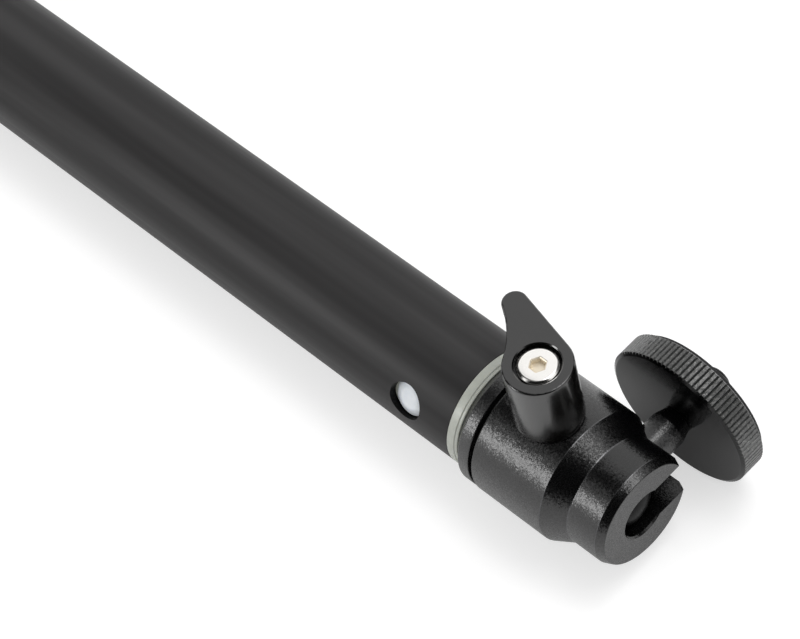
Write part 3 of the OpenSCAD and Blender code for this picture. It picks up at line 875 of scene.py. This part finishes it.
@dataclass
class BallHead(SubAssembly):
    """Housing of the ball head, its ball seat and the ball with its stem."""

    cylinder: float = 16.45
    cone: float = 4.4
    neck_radius: float = 10.95
    neck: float = 6.4
    face_radius: float = 10.25
    mouth_radius: float = 4.75
    mouth_bevel: float = 0.35
    notch: float = 7.8
    cup: float = 7.55
    plate: float = 3.2
    plate_radius: float = 9.62
    clamp_radius: float = 3.05
    spot_depth: float = 0.4
    spot_radius: float = 6.8
    edge: float = 0.16
    worn_reach: float = 0.18
    worn_area: float = 0.4
    stem_radius: float = 3.6
    stem_tip: float = 2.8
    stem_straight: float = 15.5
    beyond: float = 2.0

    def cavity(self, back: float, face: float) -> Outline:
        """Outline of the bore, the ball's cup and the mouth.

        Args:
            back: Where the housing starts along the pole.
            face: Where it ends.

        Returns:
            The outline.
        """
        far, steps = face + self.beyond, 24
        bore = Outline().to(0, back - 1).to(self.plate_radius, back - 1)
        bore.to(self.plate_radius, back + self.plate).to(self.cup, back + self.plate).to(self.cup, BALL_AT.x)
        for k in range(1, steps):
            turn = math.radians(90 * k / steps)
            if self.cup * math.cos(turn) > self.mouth_radius:
                bore.to(self.cup * math.cos(turn), BALL_AT.x + self.cup * math.sin(turn))
        at_mouth = BALL_AT.x + math.sqrt(self.cup ** 2 - self.mouth_radius ** 2)
        bore.to(self.mouth_radius, at_mouth).to(self.mouth_radius, face - self.mouth_bevel)
        return bore.to(self.mouth_radius + self.mouth_bevel + self.beyond, far).to(0, far)

    def housing(self) -> None:
        """Builds the housing and cuts its bore, cup, mouth, notch and clamp hole."""
        outer, back, face = Span.of("head_housing").along(0)
        shoulder = back + self.cylinder
        throat = shoulder + self.cone
        collar = throat + self.neck
        outline = (Outline().to(0, back).to(outer, back, 0.3).to(outer, shoulder, 0.5)
                   .to(self.neck_radius, throat, 0.6).to(self.neck_radius, collar, 0.5)
                   .to(self.face_radius, face, 0.2).to(0, face))
        piece = ON_POLE.turned("housing", outline, 192)
        HOUSING.dress(piece, RUBBED)
        for side in piece.data.polygons:
            at = side.center.x / MM
            worn = any(abs(at - edge) < self.worn_reach for edge in (shoulder, throat, collar))
            side.material_index = int(worn and side.area < self.worn_area * MM * MM)
        half, far = self.notch / 2, outer + self.beyond
        slot = arc(Vector((BALL_AT.x, 0)), half, math.pi / 2, math.pi * 1.5, 32)
        slot += [Vector((face + self.beyond, -half)), Vector((face + self.beyond, half))]
        # the prism's own Z runs along -Y, so that this range lies on the stem's side
        notch = Shaper(Matrix.Rotation(math.radians(90), 4, "X")).prism("notch", slot, -far, 0)
        combine(piece, ON_POLE.turned("bore", self.cavity(back, face), 96), notch)
        holes = ((self.clamp_radius, 0, 64), (self.spot_radius, outer - self.spot_depth, 96))
        for radius, low, segments in holes:
            rod = Outline().to(0, low).to(radius, low).to(radius, far).to(0, far)
            combine(piece, ON_LEVER.turned("rod", rod, segments))
        soften(piece, self.edge, 1)
        self.place(piece, "head_housing", "head", HOUSING, "blasted_aluminium")

    def ball(self) -> None:
        """Builds the ball and its stem as one turned piece."""
        span = Span.of("ball_stem")
        radius, end = -span.low[1], span.high[1]
        outline = Outline().to(0, -radius)
        foot = math.sqrt(radius ** 2 - self.stem_radius ** 2)
        steps, stop = 40, math.acos(-foot / radius)
        for k in range(1, steps + 1):
            turn = stop * k / steps
            outline.to(radius * math.sin(turn), -radius * math.cos(turn))
        outline.corners[-1] = (self.stem_radius, foot, 0.5)
        outline.to(self.stem_radius, self.stem_straight, 1.5).to(self.stem_tip, end, 0.1).to(0, end)
        piece = ON_STEM.turned("ball", outline, 96)
        STEM.dress(piece, DARK_BALL_AND_WALL_SHADE)
        # The ball below the stem's foot gets a darker, less mirroring copy of the stem's finish.
        for side in piece.data.polygons:
            side.material_index = int(side.center.y / MM < foot - 0.6)
        self.place(piece, "ball_stem", "ball", STEM, "steel")

    def build(self) -> None:
        """Builds the head and dresses the seat."""
        self.housing()
        self.ball()
        self.keep(NYLON, "ball_seat")


@dataclass
class ClampLever(SubAssembly):
    """Clamp lever with its screw and the splined clamp bolt."""

    barrel: float = 6.3
    arm: float = 3.2
    edge: float = 0.42
    arm_length: float = 13.8
    arm_turn: float = 149.8
    tip: float = 2.35
    hollow: float = 20.0
    recess: float = 4.2
    recess_depth: float = 2.4
    spline_hole: float = 4.2
    spline_depth: float = 6.7
    screw_hole: float = 2.05
    head: float = 3.8
    head_height: float = 2.2
    shank: float = 2.0
    crown_radius: float = 1.9
    hexagon: float = 1.443
    hexagon_depth: float = 1.3

    def arm_outline(self) -> list[Vector]:
        """Outline of barrel and arm seen from above.

        Returns:
            The outline's points about the lever's axis.
        """
        lean = math.asin((self.barrel - self.tip) / self.arm_length)
        low = lean - math.pi / 2
        to_barrel, to_tip = self.barrel + self.hollow, self.tip + self.hollow
        along = (to_barrel ** 2 - to_tip ** 2 + self.arm_length ** 2) / (2 * self.arm_length)
        centre = Vector((along, math.sqrt(to_barrel ** 2 - along ** 2)))
        end = Vector((self.arm_length, 0))
        from_tip = math.atan2(centre.y, centre.x - end.x)
        from_barrel = math.atan2(centre.y, centre.x)
        points = arc(Vector((0, 0)), self.barrel, from_barrel, low + 2 * math.pi, 72)
        points += arc(end, self.tip, low, from_tip, 24)
        points += arc(centre, self.hollow, from_tip - math.pi, from_barrel - math.pi, 24)[1:-1]
        turn = Matrix.Rotation(math.radians(self.arm_turn), 2)
        return [turn @ p for p in points]

    def build(self) -> None:
        """Builds the lever and its screw and dresses the bolt."""
        span = Span.of("lever")
        low, top = span.low[2], span.high[2]
        body = ON_LEVER.prism("lever_body", self.arm_outline(), top - self.arm, top, self.edge, 1)
        LEVER.dress(body, RUBBED)
        inner = top - self.arm / 2
        barrel = Outline().to(0, low).to(self.barrel, low, 0.3).to(self.barrel, inner).to(0, inner)
        combine(body, ON_LEVER.turned("barrel", barrel, 144), how="UNION")
        seat, ledge = top - self.recess_depth, low + self.spline_depth
        bore = (Outline().to(0, low - 1).to(self.spline_hole, low - 1).to(self.spline_hole, ledge)
                .to(self.screw_hole, ledge).to(self.screw_hole, seat).to(self.recess, seat)
                .to(self.recess, top - 0.2).to(self.recess + 1.2, top + 1).to(0, top + 1))
        combine(body, ON_LEVER.turned("lever_bore", bore, 96))
        level(body)
        self.place(body, "lever", "lever", LEVER, "blasted_aluminium")
        self.screw(seat + self.head_height)
        self.keep(STEEL, "clamp_bolt")

    def screw(self, crown: float) -> None:
        """Builds the button head screw with its hexagon socket.

        Args:
            crown: Height of the head's top.
        """
        end, seat = Span.of("lever_screw").low[2], crown - self.head_height
        outline = (Outline().to(0, end).to(self.shank, end, 0.3).to(self.shank, seat).to(self.head, seat)
                   .to(self.head, crown - 0.45, 0.3).to(self.head - 0.55, crown - 0.08, 0.5)
                   .to(self.crown_radius, crown).to(0, crown))
        piece = ON_LEVER.turned("lever_screw_head", outline, 96, 6)
        corners = [p.to_2d() for p in circle(self.hexagon, 0, 6)]
        mouth = [[Vector((*(c * scale), height)) for c in corners]
                 for scale, height in ((0.95, crown - 0.25), (1.3, crown + 0.1))]
        depth = crown - self.hexagon_depth
        combine(piece, ON_LEVER.prism("hexagon", corners, depth, crown + 1),
                ON_LEVER.grid("hexagon_mouth", mouth, loop=False))
        soften(piece, 0.06)
        CHROME.dress(piece, SOCKET)
        for face in piece.data.polygons:
            reach = Vector((face.center.x / MM - LEVER_AT.x, face.center.y / MM)).length
            face.material_index = int(reach < self.hexagon * 1.25 and face.center.z / MM < crown - 0.01)
        self.place(piece, "lever_screw", "lever", CHROME, "chrome")


@dataclass
class Platform(SubAssembly):
    """Knurled wheel with its pad and the camera screw."""

    ridges: int = 96
    ridge_depth: float = 0.4
    ridge_land: float = 0.55
    bevel: float = 0.3
    bevel_steep: float = 1.3
    neck: float = 3.0
    shank: float = 2.0
    play: float = 0.02
    pad_bore: float = 3.225
    grooves: tuple[float, ...] = (11.6, 9.8, 8.0, 6.2)
    groove_depth: float = 0.22
    groove_half: float = 0.3
    thread: Thread = Thread(2.55, 3.175)

    def sink(self, share: float) -> float:
        """How far the knurling lies below the wheel's radius at a share of one ridge's pitch."""
        flank = (1 - self.ridge_land) / 2
        return self.ridge_depth * max(0.0, 1 - min(share, 1 - share) / flank)

    def wheel(self) -> None:
        """Builds the wheel: a turned disc whose bevels cut through its ridges."""
        outer, low, high = Span.of("platform_wheel").along(1)
        flank = (1 - self.ridge_land) / 2
        shares = (0.0, flank / 2, flank, 0.5, flank + self.ridge_land, 1 - flank / 2)
        turns = [(i + s) / self.ridges * 2 * math.pi for i in range(self.ridges) for s in shares]
        sinks = [self.sink(s) for _ in range(self.ridges) for s in shares]
        edge = outer - self.ridge_depth - self.bevel
        slope = self.bevel / (self.ridge_depth + self.bevel) * self.bevel_steep
        ridge, cross = [outer - s for s in sinks], [(outer - s - edge) * slope for s in sinks]
        flat = (self.neck + self.play, edge - 0.6, edge)
        rows = [ring(repeat(radius), repeat(low), turns) for radius in flat]
        rows += [ring(ridge, (low + c for c in cross), turns), ring(ridge, (high - c for c in cross), turns)]
        rows += [ring(repeat(radius), repeat(high), turns) for radius in reversed(flat)]
        piece = ON_STEM.grid("wheel", rows, 28)
        WHEEL.dress(piece, KNURL, UPPER_BEVEL_HIGHLIGHT)
        # The upper bevel gets the bright metal, a painted highlight, while the lower bevel keeps the wheel's
        # black; the knurling gets its own finish.
        for face in piece.data.polygons:
            upper = 0.3 < face.normal.y < 0.99
            face.material_index = 2 if upper else int(abs(face.normal.y) < 0.35)
        self.place(piece, "platform_wheel", "platform", WHEEL, "turned_aluminium")

    def screw(self) -> None:
        """Builds the camera screw with its cut thread."""
        _, low, end = Span.of("camera_screw").along(1)
        pad, under = Span.of("platform_pad").high[1], Span.of("platform_wheel").low[1]
        below = ((1.2, low), (self.shank - 0.1, low), (self.shank, low + 0.2), (self.shank, under),
                 (self.neck, under), (self.neck, pad - 0.2))
        above = ((2.4, end - 0.2), (2.1, end))
        count = self.thread.segments
        rows = [circle(*corner, count) for corner in below] + self.thread.rings(pad, end - 0.45, 0.3)
        rows += [circle(*corner, count) for corner in above]
        piece = ON_STEM.grid("screw_camera", rows, 50, loop=False)
        self.place(piece, "camera_screw", "platform", SCREW, "black_steel")

    def pad(self) -> None:
        """Builds the rubber pad with a few shallow rings in its face."""
        outer, low, top = Span.of("platform_pad").along(1)
        outline = Outline().to(self.pad_bore, low).to(outer, low).to(outer, top, Corner.BROKEN)
        for radius in self.grooves:
            outline.to(radius + self.groove_half, top, 0.1).to(radius, top - self.groove_depth, 0.1)
            outline.to(radius - self.groove_half, top, 0.1)
        outline.to(self.pad_bore, top, 0.1)
        piece = ON_STEM.turned("pad", outline, 128, 2)
        self.place(piece, "platform_pad", "platform", PAD, "rubber")

    def build(self) -> None:
        """Builds wheel, pad and screw."""
        self.wheel()
        self.pad()
        self.screw()


@dataclass(frozen=True)
class SoftBox:
    """A soft square lamp that looks at the head. Places are in metres."""

    name: str
    place: Triple
    size: float
    power: float
    mirrored: bool
    target: Triple = (0.32, 0.0, 0.0)

    def hang(self) -> None:
        """Makes the lamp; only a mirrored one shows in glossy surfaces."""
        data = bpy.data.lights.new(self.name, "AREA")
        data.shape, data.size, data.energy = "SQUARE", self.size, self.power
        lamp = bpy.data.objects.new(self.name, data)
        lamp.location = self.place
        aim = Vector(self.target) - Vector(self.place)
        lamp.rotation_mode = "QUATERNION"
        lamp.rotation_quaternion = aim.to_track_quat("-Z", "Y")
        lamp.visible_camera, lamp.visible_glossy = False, self.mirrored
        bpy.context.scene.collection.objects.link(lamp)


def toward(azimuth: float, elevation: float) -> Vector:
    """Direction to a point of view, from its angles in radians."""
    flat = math.cos(elevation)
    return Vector((math.sin(azimuth) * flat, -math.cos(azimuth) * flat, math.sin(elevation)))


@dataclass
class Studio:
    """Pale floor, even surroundings with dark screens, and soft lamps. Sizes are in metres.

    The floor glows for camera rays by a share, and for mirrored ones by a smaller share. Each screen
    has an azimuth, a height, and the angles from its middle at which it is full and ends.
    """

    floor_size: float = 6.0
    floor_tone: float = 0.97
    floor_glow: float = 1.35
    floor_share: float = 0.42
    floor_mirrored: float = 0.2
    floor_gap: float = 0.00002
    surround: float = 0.62
    screens: tuple[tuple[float, float, float, float], ...] = ((35, 35, 38, 52), (150, 5, 26, 42),
                                                              (-70, 60, 12, 24), (-62, 25, 16, 25))

    @staticmethod
    def seen(graph: Graph, mirrored: float = 1.0) -> Socket:
        """Adds up the rays that show a surface itself: camera, glossy and transmission rays.

        Args:
            graph: The node tree.
            mirrored: How much a glossy ray counts.

        Returns:
            1 for such rays and 0 for the light that falls on others.
        """
        rays = graph.tree.nodes.new("ShaderNodeLightPath").outputs
        total = rays["Is Camera Ray"]
        for name, weight in (("Is Glossy Ray", mirrored), ("Is Transmission Ray", 1.0)):
            total = graph.maths("MULTIPLY_ADD", rays[name], weight, total, use_clamp=True)
        return total

    def floor(self) -> None:
        """Lays the pale floor under the pole; it shows white and keeps the shadow."""
        height = CAD_BOX[0].z - self.floor_gap
        half = self.floor_size / 2
        mesh = bpy.data.meshes.new("floor")
        corners = [(x * half, y * half, height) for x, y in ((-1, -1), (1, -1), (1, 1), (-1, 1))]
        mesh.from_pydata(corners, [], [(0, 1, 2, 3)])
        plane = bpy.data.objects.new("floor", mesh)
        bpy.context.scene.collection.objects.link(plane)
        sheet = Sheet("floor_white")
        sheet.tint(sheet.spread(sheet.noise(40.0)), (self.floor_tone,) * 3, (self.floor_tone - 0.01,) * 3)
        sheet.surface({"Roughness": 0.8, "Specular IOR Level": 0.0})
        glow = sheet.node("Emission", "Emission", {"Strength": self.floor_glow})
        share = sheet.maths("MULTIPLY", self.seen(sheet, self.floor_mirrored), self.floor_share)
        mix = sheet.node("MixShader", "Shader", {"Fac": share, 1: sheet.shader.outputs["BSDF"], 2: glow})
        sheet.feed(sheet.tree.nodes["Material Output"], {"Surface": mix})
        mesh.materials.append(sheet.material)

    def world(self) -> None:
        """Surrounds the scene with even light, white where it is seen, with dark screens in reflections."""
        world = bpy.data.worlds.new("surround")
        world.use_nodes = True
        graph = Graph(world.node_tree)
        bright = graph.spread(self.seen(graph), self.surround, 1.0, 0.0, 1.0)
        away = graph.node("TexCoord", "Generated", {})
        darkest: Socket | None = None
        for screen in self.screens:
            azimuth, height, full, edge = (math.radians(v) for v in screen)
            facing = graph.vector("DOT_PRODUCT", away, toward(azimuth, height), out="Value")
            dark = graph.spread(facing, 0.0, 1.0, math.cos(edge), math.cos(full),
                                interpolation_type="SMOOTHSTEP")
            darkest = dark if darkest is None else graph.maths("MAXIMUM", darkest, dark)
        rays = graph.node("LightPath", "Is Glossy Ray", {})
        left = graph.maths("SUBTRACT", 1.0, graph.maths("MULTIPLY", darkest, rays))
        graph.feed(graph.tree.nodes["Background"], {"Strength": graph.maths("MULTIPLY", bright, left),
                                                    "Color": (1, 1, 1, 1)})
        bpy.context.scene.world = world

    def build(self) -> None:
        """Builds the floor, surroundings and lamps."""
        self.floor()
        self.world()
        for box in (SoftBox("lamp_above", (0.2, 0.45, 1.0), 0.6, 3.1, False),
                    SoftBox("lamp_side", (-0.14, -0.81, 0.375), 0.3, 2.0, True),
                    SoftBox("lamp_top", (0.538, 0.218, 0.846), 0.42, 1.9, True)):
            box.hang()
        bpy.context.scene.view_settings.view_transform = "Standard"


@dataclass(frozen=True)
class PhotoCamera:
    """Camera at the photograph's viewing angle. Angles are in degrees, places in metres."""

    azimuth: float = 58.471
    elevation: float = 53.651
    roll: float = -17.014
    target: Triple = (0.278344, 0.002871, 0.0)
    distance: float = 0.547554
    lens: float = 135.0

    def build(self) -> None:
        """Makes the scene's camera."""
        a, e, r = (math.radians(v) for v in (self.azimuth, self.elevation, self.roll))
        back = toward(a, e)
        flat = (-back).cross(Vector((0, 0, 1))).normalized()
        steep = flat.cross(-back)
        right = flat * math.cos(r) + steep * math.sin(r)
        up = steep * math.cos(r) - flat * math.sin(r)
        data = bpy.data.cameras.new("photo_camera")
        data.lens, data.sensor_width = self.lens, 36.0
        data.clip_start, data.clip_end = 0.01, 20.0
        camera = bpy.data.objects.new("photo_camera", data)
        turn = Matrix((right, up, back)).transposed().to_4x4()
        camera.matrix_world = Matrix.Translation(Vector(self.target) + back * self.distance) @ turn
        bpy.context.scene.collection.objects.link(camera)
        bpy.context.scene.camera = camera


def main() -> None:
    """Builds every sub-assembly, the studio and the camera in order."""
    logging.basicConfig(level=logging.INFO, format="%(name)s: %(message)s")
    for part in (Handle(), Sections(), PanBase(), BallHead(), ClampLever(), Platform()):
        log.info("building %s", type(part).__name__)
        part.build()
    Studio().build()
    PhotoCamera().build()


if __name__ == "__main__":
    main()
